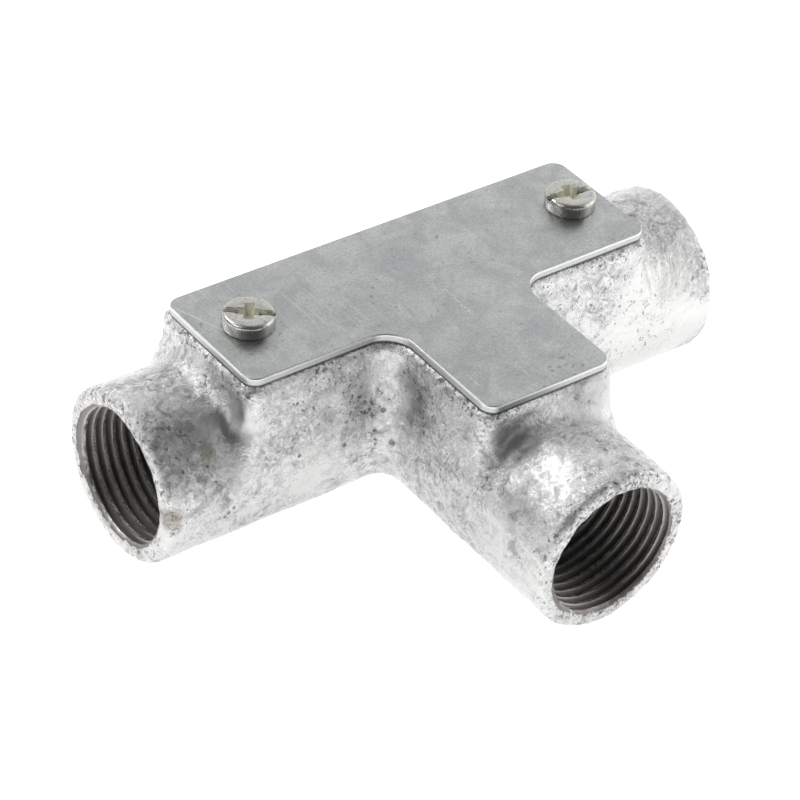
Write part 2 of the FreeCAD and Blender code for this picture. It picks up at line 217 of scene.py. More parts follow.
def add_node(tree, kind, links=None, **settings):
    """Add a shader node. Each link gives an input its value, the socket that feeds it, or the
    node whose first socket in use feeds it."""
    node = tree.nodes.new("ShaderNode" + kind)
    for name, value in settings.items():
        setattr(node, name, value)
    for name, source in (links or {}).items():
        if isinstance(source, bpy.types.Node):
            source = next(socket for socket in source.outputs if socket.enabled)
        if isinstance(source, bpy.types.NodeSocket):
            tree.links.new(source, node.inputs[name])
        else:
            node.inputs[name].default_value = source
    return node


def new_material(name):
    """Empty node material, its tree, and the place on the object that its patterns follow."""
    material = bpy.data.materials.new(name)
    material.use_nodes = True
    tree = material.node_tree
    tree.nodes.clear()
    return material, tree, add_node(tree, "TexCoord").outputs["Object"]


def finish_surface(tree, colour, rough, relief, depth, strength, metallic=1.0):
    """Surface with a bump of a real depth, joined to the material's output."""
    bump = add_node(tree, "Bump", {"Height": relief, "Distance": depth, "Strength": strength})
    shader = add_node(tree, "BsdfPrincipled", {
        "Base Color": colour, "Metallic": metallic, "Roughness": rough, "Normal": bump})
    add_node(tree, "OutputMaterial", {"Surface": shader})


def ragged_spots(tree, place, raggedness, *spots):
    """Mask of uneven spots, each a centre and a radius in millimetres. The pattern that makes
    them ragged lies about a half, and moves their edges in and out."""
    mask, outer, inner = None, 1.6 * MM, 0.9 * MM
    for centre, radius in spots:
        away = add_node(tree, "VectorMath", {0: place, 1: Vector(centre) * MM},
                        operation="DISTANCE")
        edge = add_node(tree, "Math", {0: raggedness, 1: radius * MM, 2: away},
                        operation="MULTIPLY_ADD")
        spot = add_node(tree, "MapRange", {
            "Value": edge, "From Min": outer * radius, "From Max": inner * radius},
            interpolation_type="SMOOTHSTEP")
        mask = spot if mask is None else add_node(tree, "Math", {0: mask, 1: spot},
                                                  operation="MAXIMUM")
    return mask


def straight_scratch(tree, place, start, end, width):
    """Mask of one scratch between two points on the cover, in millimetres."""
    along = Vector(end) - Vector(start)
    middle = (Vector(start) + Vector(end)) / 2
    turned = add_node(tree, "Mapping", {
        "Vector": place, "Location": (middle.x * MM, middle.y * MM, 0),
        "Rotation": (0, 0, math.atan2(along.y, along.x)),
        "Scale": (along.length / 2 * MM, width * MM, 1)}, vector_type="TEXTURE")
    sides = add_node(tree, "SeparateXYZ", {"Vector": turned})
    fades = []
    for side, fade in (("X", 0.1), ("Y", 0.8)):
        away = add_node(tree, "Math", {0: sides.outputs[side]}, operation="ABSOLUTE")
        fades.append(add_node(tree, "MapRange", {
            "Value": away, "From Min": 1.0, "From Max": 1.0 - fade},
            interpolation_type="SMOOTHSTEP"))
    return add_node(tree, "Math", dict(enumerate(fades)), operation="MULTIPLY")


def bore_radius(tree, place):
    """Distance from the nearer of the two bore axes, the run's along X or the branch's along Y."""
    reaches = []
    for entry, keep in (("entry_right", (0, 1, 1)), ("entry_branch", (1, 0, 1))):
        centre = Vector(ENTRIES[entry]["pos_m"]) * Vector(keep)
        flat = add_node(tree, "VectorMath", {0: place, 1: keep}, operation="MULTIPLY")
        reaches.append(add_node(tree, "VectorMath", {0: flat, 1: centre}, operation="DISTANCE"))
    return add_node(tree, "Math", dict(enumerate(reaches)), operation="MINIMUM")


def select_only(*objects):
    """Leave object mode's selection holding just these, the first of them active."""
    if bpy.context.object and bpy.context.object.mode != "OBJECT":
        bpy.ops.object.mode_set(mode="OBJECT")
    bpy.ops.object.select_all(action="DESELECT")
    for piece in objects:
        piece.select_set(True)
    bpy.context.view_layer.objects.active = objects[0]


def settle(piece):
    """Put a piece's place, turn and scale into its mesh."""
    select_only(piece)
    bpy.ops.object.transform_apply(location=True, rotation=True, scale=True)


def apply_modifier(piece, kind, **settings):
    """Add a modifier, set it and apply it."""
    modifier = piece.modifiers.new(kind.title(), kind)
    for name, value in settings.items():
        setattr(modifier, name, value)
    select_only(piece)
    bpy.ops.object.modifier_apply(modifier=modifier.name)


def copy_node(node, name):
    """Merged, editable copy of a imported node's mesh."""
    piece = bpy.data.objects.new(name, frame["nodes"][node].data.copy())
    piece.data.name = name
    piece.data.materials.clear()
    bpy.context.collection.objects.link(piece)
    select_only(piece)
    bpy.ops.object.mode_set(mode="EDIT")
    bpy.ops.mesh.select_all(action="SELECT")
    bpy.ops.mesh.remove_doubles(threshold=0.002 * MM)
    bpy.ops.mesh.customdata_custom_splitnormals_clear()
    bpy.ops.object.mode_set(mode="OBJECT")
    return piece


def pick_faces(piece, wanted):
    """In edit mode, select just the faces that pass a test."""
    bpy.ops.mesh.select_all(action="DESELECT")
    mesh = bmesh.from_edit_mesh(piece.data)
    for face in mesh.faces:
        if wanted(face):
            face.select_set(True)
    bmesh.update_edit_mesh(piece.data)


def cut(piece, cutter):
    """Take the cutter away from the piece, and then delete the cutter."""
    apply_modifier(piece, "BOOLEAN", operation="DIFFERENCE", solver="MANIFOLD", object=cutter)
    bpy.data.objects.remove(cutter)


def casting_material(colours):
    """Hot-dip galvanised malleable iron. The dip leaves a metal skin that runs from bright to matt
    grey in patches, is wrinkled by its crystals and pitted by dark dross. Painted shade also
    darkens the wrinkles' hollows, the pits, some placed spots and the rim under the cover."""
    material, tree, place = new_material("hot_dip_galvanised_iron")
    axes = add_node(tree, "SeparateXYZ", {"Vector": place}).outputs
    patches = add_node(tree, "TexNoise", {
        "Vector": place, "Scale": 1 / (7 * MM), "Detail": 4.0, "Roughness": 0.6,
        "Distortion": 0.6})
    crystals = add_node(tree, "TexNoise", {
        "Vector": place, "Scale": 1 / (1.3 * MM), "Detail": 7.0, "Roughness": 0.75,
        "Distortion": 0.8})
    wrinkles = add_node(tree, "TexNoise", {
        "Vector": place, "Scale": 1 / (0.45 * MM), "Detail": 4.0, "Roughness": 0.7,
        "Distortion": 0.6})
    pits = add_node(tree, "TexNoise", {
        "Vector": place, "Scale": 1 / (0.6 * MM), "Detail": 3.0, "Roughness": 0.6,
        "Distortion": 0.5})
    # Where the dip ran smooth, shiny, rough, matt or clean: centres and radii in millimetres. The
    # smooth, rough and matt spots are also darkened as painted shade.
    smooth = ragged_spots(tree, place, patches, ((-32.5, 7.5, 21.5), 4.0),
                          ((-6.3, -13.5, 22.0), 3.5))
    glossy = ragged_spots(tree, place, patches, ((-5, -21, 20), 9.0), ((-38, 13, 23), 4.0))
    coarse_and_shade = ragged_spots(tree, place, patches, ((-17, 5, 20), 7.0), ((-41, 9, 20), 5.5),
                          ((-11, 0, 21), 6.0), ((5, -14, 25.5), 3.0))
    matt_and_shade = ragged_spots(tree, place, patches, ((-41, 13, 21), 7.0), ((5, -14, 25), 5.0),
                        ((-38, 6, 16), 5.0), ((-6, -14.5, 23), 3.5), ((-10, -21, 18.7), 3.0))
    clean = ragged_spots(tree, place, patches, ((34, 5, 14), 13.0))
    rim = add_node(tree, "MapRange", {
        "Value": axes["Z"], "From Min": 25.4 * MM, "From Max": 26.8 * MM},
        interpolation_type="SMOOTHSTEP")
    from_middle = add_node(tree, "Math", {0: axes["X"]}, operation="ABSOLUTE")
    run_mouth = add_node(tree, "MapRange", {
        "Value": from_middle, "From Min": 43.8 * MM, "From Max": 45.0 * MM},
        interpolation_type="SMOOTHSTEP")
    branch_mouth = add_node(tree, "MapRange", {
        "Value": axes["Y"], "From Min": -26.8 * MM, "From Max": -28.0 * MM},
        interpolation_type="SMOOTHSTEP")
    even = smooth
    for zone, share in ((glossy, 0.55), (clean, 0.35)):
        partly = add_node(tree, "Math", {0: zone, 1: share}, operation="MULTIPLY")
        even = add_node(tree, "Math", {0: even, 1: partly}, operation="MAXIMUM")
    uneven = add_node(tree, "MapRange", {"Value": even, "To Min": 1.0, "To Max": 0.35})
    # Matt grey over bright zinc, in random patches, and as painted shade in the smooth, rough and
    # matt spots.
    worn = add_node(tree, "Math", {0: coarse_and_shade, 1: 0.12, 2: crystals}, operation="MULTIPLY_ADD")
    grey = add_node(tree, "MapRange", {"Value": worn, "From Min": 0.40, "From Max": 0.68},
                    interpolation_type="SMOOTHSTEP")
    kept = add_node(tree, "Math", {0: clean, 1: -0.3, 2: patches}, operation="MULTIPLY_ADD")
    patchy = add_node(tree, "MapRange", {"Value": kept, "From Min": 0.25, "From Max": 0.65},
                      interpolation_type="SMOOTHSTEP")
    dull_and_shade = add_node(tree, "Math", {0: grey, 1: patchy}, operation="MULTIPLY")
    # Painted shade: the smooth spots get at least three tenths of the matt grey.
    smooth_shade = add_node(tree, "Math", {0: smooth, 1: 0.3}, operation="MULTIPLY")
    dull_and_shade = add_node(tree, "Math", {0: dull_and_shade, 1: smooth_shade}, operation="MAXIMUM")
    # The matt spots add more grey, partly as painted shade.
    dull_and_shade = add_node(tree, "Math", {0: matt_and_shade, 1: 0.3, 2: dull_and_shade}, operation="MULTIPLY_ADD")
    # Dark dross in pits, which also stands for painted shade in them: more of it where the zinc is
    # coarse and round the mouths, and along the rim, as painted shade under the cover.
    crowding = add_node(tree, "MapRange", {
        "Value": patches, "From Min": 0.38, "From Max": 0.60, "To Max": 0.08},
        interpolation_type="SMOOTHSTEP")
    crowded = coarse_and_shade
    for edge in (rim, run_mouth, branch_mouth):
        crowded = add_node(tree, "Math", {0: crowded, 1: edge}, operation="MAXIMUM")
    crowding = add_node(tree, "Math", {0: crowded, 1: 0.06, 2: crowding},
                        operation="MULTIPLY_ADD")
    pitted = add_node(tree, "Math", {0: pits, 1: crowding}, operation="ADD")
    dross_and_shade = add_node(tree, "MapRange", {
        "Value": pitted, "From Min": 0.68, "From Max": 0.76, "To Max": 0.7},
        interpolation_type="SMOOTHSTEP")
    dross_and_shade = add_node(tree, "Math", {0: dross_and_shade, 1: uneven}, operation="MULTIPLY")
    # Painted shade in the hollows of the wrinkles, stronger in patches and weaker where the skin
    # is even.
    painted_shade = add_node(tree, "MapRange", {
        "Value": patches, "From Min": 0.35, "From Max": 0.65, "To Min": 0.15, "To Max": 0.6},
        interpolation_type="SMOOTHSTEP")
    crease_shade = add_node(tree, "MapRange", {
        "Value": wrinkles, "From Min": 0.5, "From Max": 0.3}, interpolation_type="SMOOTHSTEP")
    crease_shade = add_node(tree, "Math", {0: crease_shade, 1: painted_shade}, operation="MULTIPLY")
    crease_shade = add_node(tree, "Math", {0: crease_shade, 1: uneven}, operation="MULTIPLY")
    # Brown flux on the left socket, and the larger blow holes.
    flux = ragged_spots(tree, place, crystals, ((-38.1, 7.3, 19.8), 1.4), ((-44.8, 5, 13), 2.0))
    flux = add_node(tree, "Math", {0: flux, 1: 0.6}, operation="MULTIPLY")
    holes = ragged_spots(
        tree, place, crystals, ((-32.7, 6.9, 26.6), 0.5), ((-25.4, 4.8, 15.3), 0.3),
        ((-18.3, 4.7, 14.1), 0.35), ((-13.8, 4.3, 14.9), 0.3), ((-12.8, 4.2, 18.0), 0.4),
        ((-12.2, 2.5, 13.5), 0.5), ((-36.8, 4.6, 10.2), 0.3), ((-36.2, 4.6, 10.6), 0.35),
        ((-35.5, 4.6, 11.2), 0.3))
    shadow = add_node(tree, "Math", {0: holes, 1: 0.6}, operation="MULTIPLY")
    colour = linear(colours.zinc)
    for layer, finish in ((dull_and_shade, colours.dull_zinc), (dross_and_shade, colours.dross_and_shade),
                          (crease_shade, colours.crevice_shade), (flux, colours.stain),
                          (shadow, colours.dross_and_shade)):
        colour = add_node(tree, "Mix", {
            "Factor": layer, "A": colour, "B": linear(finish)}, data_type="RGBA")
    rough = add_node(tree, "Math", {0: glossy, 1: -0.12, 2: dull_and_shade}, operation="MULTIPLY_ADD")
    rough = add_node(tree, "MapRange", {
        "Value": rough, "From Min": -0.15, "To Min": 0.2, "To Max": 0.46})
    relief = add_node(tree, "Math", {0: wrinkles, 1: 0.55, 2: crystals},
                      operation="MULTIPLY_ADD")
    sunk = add_node(tree, "Math", {0: dross_and_shade, 1: 0.5}, operation="MULTIPLY")
    sunk = add_node(tree, "Math", {0: sunk, 1: holes}, operation="MAXIMUM")
    relief = add_node(tree, "Math", {0: relief, 1: sunk}, operation="SUBTRACT")
    relief = add_node(tree, "Math", {0: relief, 1: uneven}, operation="MULTIPLY")
    finish_surface(tree, colour, rough, relief, 0.22 * MM, 0.75)
    return material


def thread_material(colours):
    """Threads cut in cast iron: crests rubbed bright, roots darkened with depth as painted shade,
    torn by the tap.
    """
    material, tree, place = new_material("cut_cast_iron")
    torn = add_node(tree, "TexNoise", {
        "Vector": place, "Scale": 1 / (0.35 * MM), "Detail": 4.0, "Roughness": 0.65})
    minor = ENTRIES["entry_right"]["dims"]["r_mm"] * MM
    ragged = add_node(tree, "Math", {0: torn, 1: 0.25 * MM, 2: bore_radius(tree, place)},
                      operation="MULTIPLY_ADD")
    # Painted shade: the colour darkens from the crests down into the roots.
    depth = add_node(tree, "MapRange", {
        "Value": ragged, "From Min": minor + 0.16 * MM, "From Max": minor + 0.5 * MM},
        interpolation_type="SMOOTHSTEP")
    colour = add_node(tree, "Mix", {
        "Factor": depth, "A": linear(colours.crest), "B": linear(colours.shaded_root)},
        data_type="RGBA")
    rough = add_node(tree, "MapRange", {"Value": depth, "To Min": 0.3, "To Max": 0.55})
    finish_surface(tree, colour, rough, torn, 0.12 * MM, 0.6)
    return material


def sheet_material(colours):
    """Zinc-plated steel sheet: satin and faintly clouded, with hairline scratches, specks where it
    was handled, edges rubbed bright and partly a painted highlight above the sheared side, and
    painted shade along its foot."""
    material, tree, place = new_material("zinc_plated_sheet")
    height = add_node(tree, "SeparateXYZ", {"Vector": place}).outputs["Z"]
    clouds = add_node(tree, "TexNoise", {
        "Vector": place, "Scale": 1 / (5 * MM), "Detail": 6.0, "Roughness": 0.62,
        "Distortion": 0.6})
    fleck = add_node(tree, "TexNoise", {
        "Vector": place, "Scale": 1 / (0.7 * MM), "Detail": 4.0, "Roughness": 0.65})
    # The plating's grain is finer than this, and is drawn coarser so that it shows.
    frost = add_node(tree, "TexNoise", {
        "Vector": place, "Scale": 1 / (0.35 * MM), "Detail": 3.0, "Roughness": 0.7})
    cloudy = add_node(tree, "MapRange", {"Value": clouds, "From Min": 0.35, "From Max": 0.65},
                      interpolation_type="SMOOTHSTEP")
    frosty = add_node(tree, "MapRange", {
        "Value": frost, "From Min": 0.62, "From Max": 0.4, "To Max": 0.35},
        interpolation_type="SMOOTHSTEP")
    handled = ragged_spots(tree, place, clouds, ((-26, 14, 28.7), 5.0), ((3, -11, 28.7), 5.0),
                           ((-34, 19, 28.7), 4.0))
    fleck = add_node(tree, "Math", {0: handled, 1: 0.06, 2: fleck}, operation="MULTIPLY_ADD")
    specks = add_node(tree, "MapRange", {
        "Value": fleck, "From Min": 0.6, "From Max": 0.7, "To Max": 0.5},
        interpolation_type="SMOOTHSTEP")
    scratch = straight_scratch(tree, place, (-32.0, 24.4, 0), (-29.2, 16.9, 0), 0.09)
    bright = add_node(tree, "Math", {0: scratch, 1: 0.6}, operation="MULTIPLY")
    # Hairlines in three directions, drawn a little wider than real ones so that they show.
    for angle in (0.5, 1.9, 2.7):
        stretched = add_node(tree, "Mapping", {
            "Vector": place, "Rotation": (0, 0, angle), "Scale": (1.0, 0.02, 1.0)})
        strands = add_node(tree, "TexNoise", {
            "Vector": stretched, "Scale": 1 / (0.25 * MM), "Detail": 2.0, "Roughness": 0.5})
        hairs = add_node(tree, "MapRange", {
            "Value": strands, "From Min": 0.66, "From Max": 0.72, "To Max": 0.22},
            interpolation_type="SMOOTHSTEP")
        bright = add_node(tree, "Math", {0: bright, 1: hairs}, operation="MAXIMUM")
    gouges = [straight_scratch(tree, place, (0.5, 10.6, 0), (0.1, 2.4, 0), 0.08),
              straight_scratch(tree, place, (6.3, 19.6, 0), (7.0, 20.3, 0), 0.3)]
    gouge = add_node(tree, "Math", dict(enumerate(gouges)), operation="MAXIMUM")
    shadow = add_node(tree, "Math", {0: gouge, 1: 0.35}, operation="MULTIPLY")
    # The edge, from the top: rubbed bright and partly a painted highlight, then sheared grey, then
    # painted shade where it sits on the casting.
    rubbed_highlight = add_node(tree, "MapRange", {
        "Value": height, "From Min": COVER_HIGH.z - 0.01 * MM,
        "From Max": COVER_HIGH.z - 0.08 * MM}, interpolation_type="SMOOTHSTEP")
    torn = add_node(tree, "Math", {0: frost, 1: 0.5, 2: 0.3}, operation="MULTIPLY_ADD")
    sheared = add_node(tree, "MapRange", {
        "Value": height, "From Min": COVER_HIGH.z - 0.2 * MM,
        "From Max": COVER_HIGH.z - 0.35 * MM, "To Max": torn}, interpolation_type="SMOOTHSTEP")
    # Painted shade along the foot of the edge, where the sheet sits on the casting.
    painted_shade = add_node(tree, "MapRange", {
        "Value": height, "From Min": COVER_LOW.z + 0.35 * MM,
        "From Max": COVER_LOW.z + 0.1 * MM, "To Max": 0.85}, interpolation_type="SMOOTHSTEP")
    colour = linear(colours.sheet)
    for layer, finish in ((cloudy, colours.worn_sheet), (frosty, colours.frost),
                          (specks, colours.dross_and_shade), (bright, colours.zinc),
                          (shadow, colours.dross_and_shade), (rubbed_highlight, colours.rubbed_edge_highlight),
                          (sheared, colours.frost), (painted_shade, colours.dross_and_shade)):
        colour = add_node(tree, "Mix", {
            "Factor": layer, "A": colour, "B": linear(finish)}, data_type="RGBA")
    rough = add_node(tree, "MapRange", {
        "Value": clouds, "From Min": 0.3, "From Max": 0.7, "To Min": 0.30, "To Max": 0.40})
    marks = add_node(tree, "Math", {0: bright, 1: gouge}, operation="MAXIMUM")
    relief = add_node(tree, "Math", {0: frost, 1: marks}, operation="SUBTRACT")
    finish_surface(tree, colour, rough, relief, 0.06 * MM, 0.6)
    return material


def plating_material(colours):
    """Bright zinc plating on the screws: glossy, worn to grey where the driver dragged."""
    material, tree, place = new_material("bright_zinc_plating")
    marks = add_node(tree, "TexNoise", {
        "Vector": place, "Scale": 1 / (0.6 * MM), "Detail": 5.0, "Roughness": 0.7,
        "Distortion": 1.5})
    worn = add_node(tree, "MapRange", {"Value": marks, "From Min": 0.48, "From Max": 0.68},
                    interpolation_type="SMOOTHSTEP")
    colour = add_node(tree, "Mix", {
        "Factor": worn, "A": linear(colours.plating), "B": linear(colours.dull_zinc)},
        data_type="RGBA")
    rough = add_node(tree, "MapRange", {
        "Value": marks, "From Min": 0.35, "From Max": 0.65, "To Min": 0.18, "To Max": 0.36})
    finish_surface(tree, colour, rough, marks, 0.05 * MM, 0.5)
    return material


def film_and_sheen_material(colours):
    """Passivation left thick in the screws' recess: a pale, waxy, slightly green film. Its
    paleness is partly a painted sheen that lightens the shaded recess.
    """
    material, tree, place = new_material("passivation_film")
    lumps = add_node(tree, "TexNoise", {
        "Vector": place, "Scale": 1 / (0.4 * MM), "Detail": 3.0, "Roughness": 0.6})
    thick = add_node(tree, "MapRange", {"Value": lumps, "From Min": 0.45, "From Max": 0.65},
                     interpolation_type="SMOOTHSTEP")
    colour = add_node(tree, "Mix", {
        "Factor": thick, "A": linear(colours.film_and_sheen), "B": linear(colours.plating)},
        data_type="RGBA")
    finish_surface(tree, colour, 0.4, lumps, 0.05 * MM, 0.5, metallic=0.0)
    return material


def raise_relief(skin, name, size, depth, group=""):
    """Push a mesh in and out by lumps of a real size and depth."""
    relief = bpy.data.textures.new(name, "CLOUDS")
    relief.noise_scale = size
    apply_modifier(skin, "DISPLACE", texture=relief, texture_coords="LOCAL", strength=depth,
                   mid_level=0.5, vertex_group=group)


def core_cutter(entry, flare):
    """Tap's core: a cylinder down to the conduit stop, flared at the mouth. It is a little
    wider than the bore, so that it clears off the relief there."""
    radius = entry["dims"]["r_mm"] * MM
    length = entry["dims"]["length_mm"] * MM
    clearing = 0.03 * MM
    bpy.ops.mesh.primitive_cylinder_add(vertices=ROUND, radius=radius + clearing,
                                        depth=length, enter_editmode=True)
    cutter = bpy.context.object
    pick_faces(cutter, lambda face: face.normal.z > FLAT)
    grow = (radius + flare) / radius
    bpy.ops.mesh.extrude_region_move(TRANSFORM_OT_translate={"value": (0, 0, flare)})
    bpy.ops.transform.resize(value=(grow, grow, 1))
    bpy.ops.mesh.extrude_region_move(TRANSFORM_OT_translate={"value": (0, 0, 2 * flare)})
    bpy.ops.object.mode_set(mode="OBJECT")
    return cutter


def wind(name, section, start, pitch, turns, steps):
    """Closed ridge: a section of (out, along) points run up a helix about Z."""
    data = bpy.data.meshes.new(name)
    data.from_pydata([(out, 0, start + along) for out, along in section],
                     [(0, 1), (1, 2), (2, 3), (3, 0)], [])
    ridge = bpy.data.objects.new(name, data)
    bpy.context.collection.objects.link(ridge)
    apply_modifier(ridge, "SCREW", axis="Z", angle=2 * math.pi, screw_offset=pitch,
                   iterations=turns, steps=steps, render_steps=steps)
    bpy.ops.object.mode_set(mode="EDIT")
    bpy.ops.mesh.select_all(action="SELECT")
    bpy.ops.mesh.remove_doubles(threshold=0.001 * MM)
    bpy.ops.mesh.fill_holes(sides=4)
    bpy.ops.mesh.select_all(action="SELECT")
    bpy.ops.mesh.normals_make_consistent(inside=False)
    bpy.ops.object.mode_set(mode="OBJECT")
    return ridge


def helix_cutter(entry, pitch, major, flare):
    """Tap's teeth: one section run up a helix. It has the metric thread's 60 degree sides,
    and a flat tip an eighth of the pitch wide. Its base lies inside the bore."""
    length = entry["dims"]["length_mm"] * MM
    base = entry["dims"]["r_mm"] * MM - 0.14 * MM
    tip = major / 2
    tip_half = pitch / 16
    base_half = tip_half + (tip - base) * math.tan(math.radians(30))
    section = [(base, -base_half), (tip, -tip_half), (tip, tip_half), (base, base_half)]
    turns = math.ceil((length + flare) / pitch)
    return wind("tap_teeth", section, base_half - length / 2, pitch, turns, 2 * SMALL_ROUND)


def stand_at(piece, entry):
    """Turn a piece made along +Z to lie along an entry's axis, centred on its thread."""
    piece.rotation_mode = "QUATERNION"
    piece.rotation_quaternion = Vector(entry["axis"]).to_track_quat("Z", "Y")
    piece.location = entry["pos_m"]
    settle(piece)


class TEE_OT_casting(bpy.types.Operator):
    """Remake the casting's skin with the relief of sand and dipped zinc"""
    bl_idname = "tee.casting"
    bl_label = "Casting"

    def execute(self, context):
        shape = context.scene.tee_shape
        skin = copy_node("casting", "casting_skin")
        apply_modifier(skin, "REMESH", mode="VOXEL", voxel_size=shape.grain)
        apply_modifier(skin, "SMOOTH", factor=0.5, iterations=2)
        raise_relief(skin, "sand_swell", 5 * MM, shape.swell)
        raise_relief(skin, "zinc_peel", 1.4 * MM, shape.peel)
        edges = mark_edges(skin, shape)
        apply_modifier(skin, "SMOOTH", factor=0.5, iterations=6, vertex_group=edges)
        raise_relief(skin, "beads", 0.8 * MM, 2 * shape.crumble, edges)
        keep_within(skin, *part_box("casting"))
        for entry in ENTRIES.values():
            core = core_cutter(entry, shape.mouth_flare)
            stand_at(core, entry)
            cut(skin, core)
            teeth = helix_cutter(entry, shape.thread_pitch, shape.thread_major,
                                 shape.mouth_flare)
            stand_at(teeth, entry)
            cut(skin, teeth)
        for node in ("screw_left", "screw_right"):
            cut(skin, tapping_drill(shape, node))
        select_only(skin)
        bpy.ops.object.shade_smooth_by_angle(angle=SOFT_EDGE)
        skin.data.materials.clear()
        skin.data.materials.append(casting_material(context.scene.tee_colours))
        skin.data.materials.append(thread_material(context.scene.tee_colours))
        paint_threads(skin, shape)
        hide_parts("casting")
        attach(skin, "casting")
        return {"FINISHED"}


def over_node(node, height):
    """Point at a height over the middle of a node."""
    low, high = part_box(node)
    return ((low.x + high.x) / 2, (low.y + high.y) / 2, height)


def tapping_drill(shape, node):
    """Drill for a cover screw's hole, from the rim into the passage, a little countersunk."""
    rim, passage = COVER_LOW.z, ENTRIES["entry_right"]["pos_m"][2]
    deep, above = rim - passage, 1.0 * MM
    sink, sink_grow = 0.4 * MM, 1.25            # the countersink's depth and widening
    bpy.ops.mesh.primitive_cylinder_add(
        vertices=SMALL_ROUND, radius=shape.tapped_hole / 2, depth=deep,
        location=(0, 0, -deep / 2), enter_editmode=True)
    drill = bpy.context.object
    pick_faces(drill, lambda face: face.normal.z > FLAT)
    bpy.ops.transform.translate(value=(0, 0, -sink))
    bpy.ops.mesh.extrude_region_move(TRANSFORM_OT_translate={"value": (0, 0, sink)})
    bpy.ops.transform.resize(value=(sink_grow, sink_grow, 1))
    bpy.ops.mesh.extrude_region_move(TRANSFORM_OT_translate={"value": (0, 0, above)})
    bpy.ops.object.mode_set(mode="OBJECT")
    drill.location = over_node(node, rim)
    settle(drill)
    return drill


def mark_edges(skin, shape):
    """Group the vertices of the rim under the cover and of the three mouths, and give the
    group's name."""
    group = skin.vertex_groups.new(name="edges")
    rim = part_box("casting")[1].z
    near = 1.3 * MM
    mouths = []
    for entry in ENTRIES.values():
        axis = Vector(entry["axis"])
        reach = entry["dims"]["length_mm"] * MM / 2 + shape.mouth_flare
        mouths.append((axis, Vector(entry["pos_m"]).dot(axis) + reach))
    picked = [vertex.index for vertex in skin.data.vertices
              if vertex.co.z > rim - near
              or any(vertex.co.dot(axis) > end - near for axis, end in mouths)]
    group.add(picked, 1.0, "REPLACE")
    return group.name


def keep_within(piece, low, high):
    """Press any bump that stands out of a box back to its sides."""
    for vertex in piece.data.vertices:
        vertex.co = [min(max(c, a), b) for c, a, b in zip(vertex.co, low, high)]


def paint_threads(skin, shape):
    """Give the second material to the faces that the taps cut into the bore's wall, and not
    to the wall itself or to the mouth's face."""
    wall, mouth_face = 0.08 * MM, 0.2 * MM      # how far these are kept clear of
    past_root = shape.thread_major / 2 + 0.09 * MM
    for entry in ENTRIES.values():
        axis, middle = Vector(entry["axis"]), Vector(entry["pos_m"])
        reach = entry["dims"]["length_mm"] * MM / 2
        bore = entry["dims"]["r_mm"] * MM
        for face in skin.data.polygons:
            offset = Vector(face.center) - middle
            along = offset.dot(axis)
            out = (offset - along * axis).length - max(0, along - reach)
            in_threads = abs(along) < reach + shape.mouth_flare - mouth_face
            if in_threads and bore + wall < out < past_root:
                face.material_index = 1


class TEE_OT_cover(bpy.types.Operator):
    """Stamp the cover sheet again, with the soft upper edge that the shear leaves"""
    bl_idname = "tee.cover"
    bl_label = "Cover"

    def execute(self, context):
        roll = context.scene.tee_shape.cover_roll
        sheet = copy_node("cover", "cover_sheet")
        bpy.ops.object.mode_set(mode="EDIT")
        pick_faces(sheet, lambda face: face.normal.z > -FLAT)
        bpy.ops.mesh.delete(type="FACE")
        bpy.ops.object.mode_set(mode="OBJECT")
        apply_modifier(sheet, "SOLIDIFY", thickness=COVER_HIGH.z - COVER_LOW.z - roll, offset=-1)
        bpy.ops.object.mode_set(mode="EDIT")
        bpy.ops.mesh.select_all(action="SELECT")
        bpy.ops.mesh.normals_make_consistent(inside=False)
        pick_faces(sheet, lambda face: face.normal.z > FLAT)
        steps = 6       # flats that make up the rolled edge's quarter turn
        for step in range(steps):
            start, end = (math.pi / 2 * turn / steps for turn in (step, step + 1))
            bpy.ops.mesh.inset(thickness=roll * (math.cos(start) - math.cos(end)),
                               depth=roll * (math.sin(end) - math.sin(start)))
        bpy.ops.object.mode_set(mode="OBJECT")
        keep_within(sheet, COVER_LOW, COVER_HIGH)
        bpy.ops.object.shade_smooth_by_angle(angle=SOFT_EDGE)
        sheet.data.materials.append(sheet_material(context.scene.tee_colours))
        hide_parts("cover")
        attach(sheet, "cover")
        return {"FINISHED"}


def screw_head(shape, radius, height):
    """Flat head with a rounded upper edge, standing on the origin."""
    bpy.ops.mesh.primitive_cylinder_add(
        vertices=2 * SMALL_ROUND, radius=radius, depth=height,
        location=(0, 0, height / 2), enter_editmode=True)
    head = bpy.context.object
    pick_faces(head, lambda face: face.normal.z > FLAT)
    bpy.ops.mesh.region_to_loop()
    bpy.ops.mesh.bevel(offset=shape.head_round, segments=6, profile=0.5)
    pick_faces(head, lambda face: face.normal.z < -FLAT)
    bpy.ops.mesh.region_to_loop()
    bpy.ops.mesh.bevel(offset=shape.head_round / 4, segments=2, profile=0.5)
    bpy.ops.object.mode_set(mode="OBJECT")
    settle(head)
    return head


def slot_cutter(shape, radius, height):
    """Straight slot right across the head, a little wider at the top."""
    bpy.ops.mesh.primitive_cube_add(
        size=1, location=(0, 0, height),
        scale=(3 * radius, shape.slot_width, 2 * shape.slot_depth))
    cutter = bpy.context.object
    settle(cutter)
    bpy.ops.object.mode_set(mode="EDIT")
    pick_faces(cutter, lambda face: face.normal.z < -FLAT)
    bpy.ops.transform.resize(value=(1, 0.9, 1))
    bpy.ops.object.mode_set(mode="OBJECT")
    return cutter


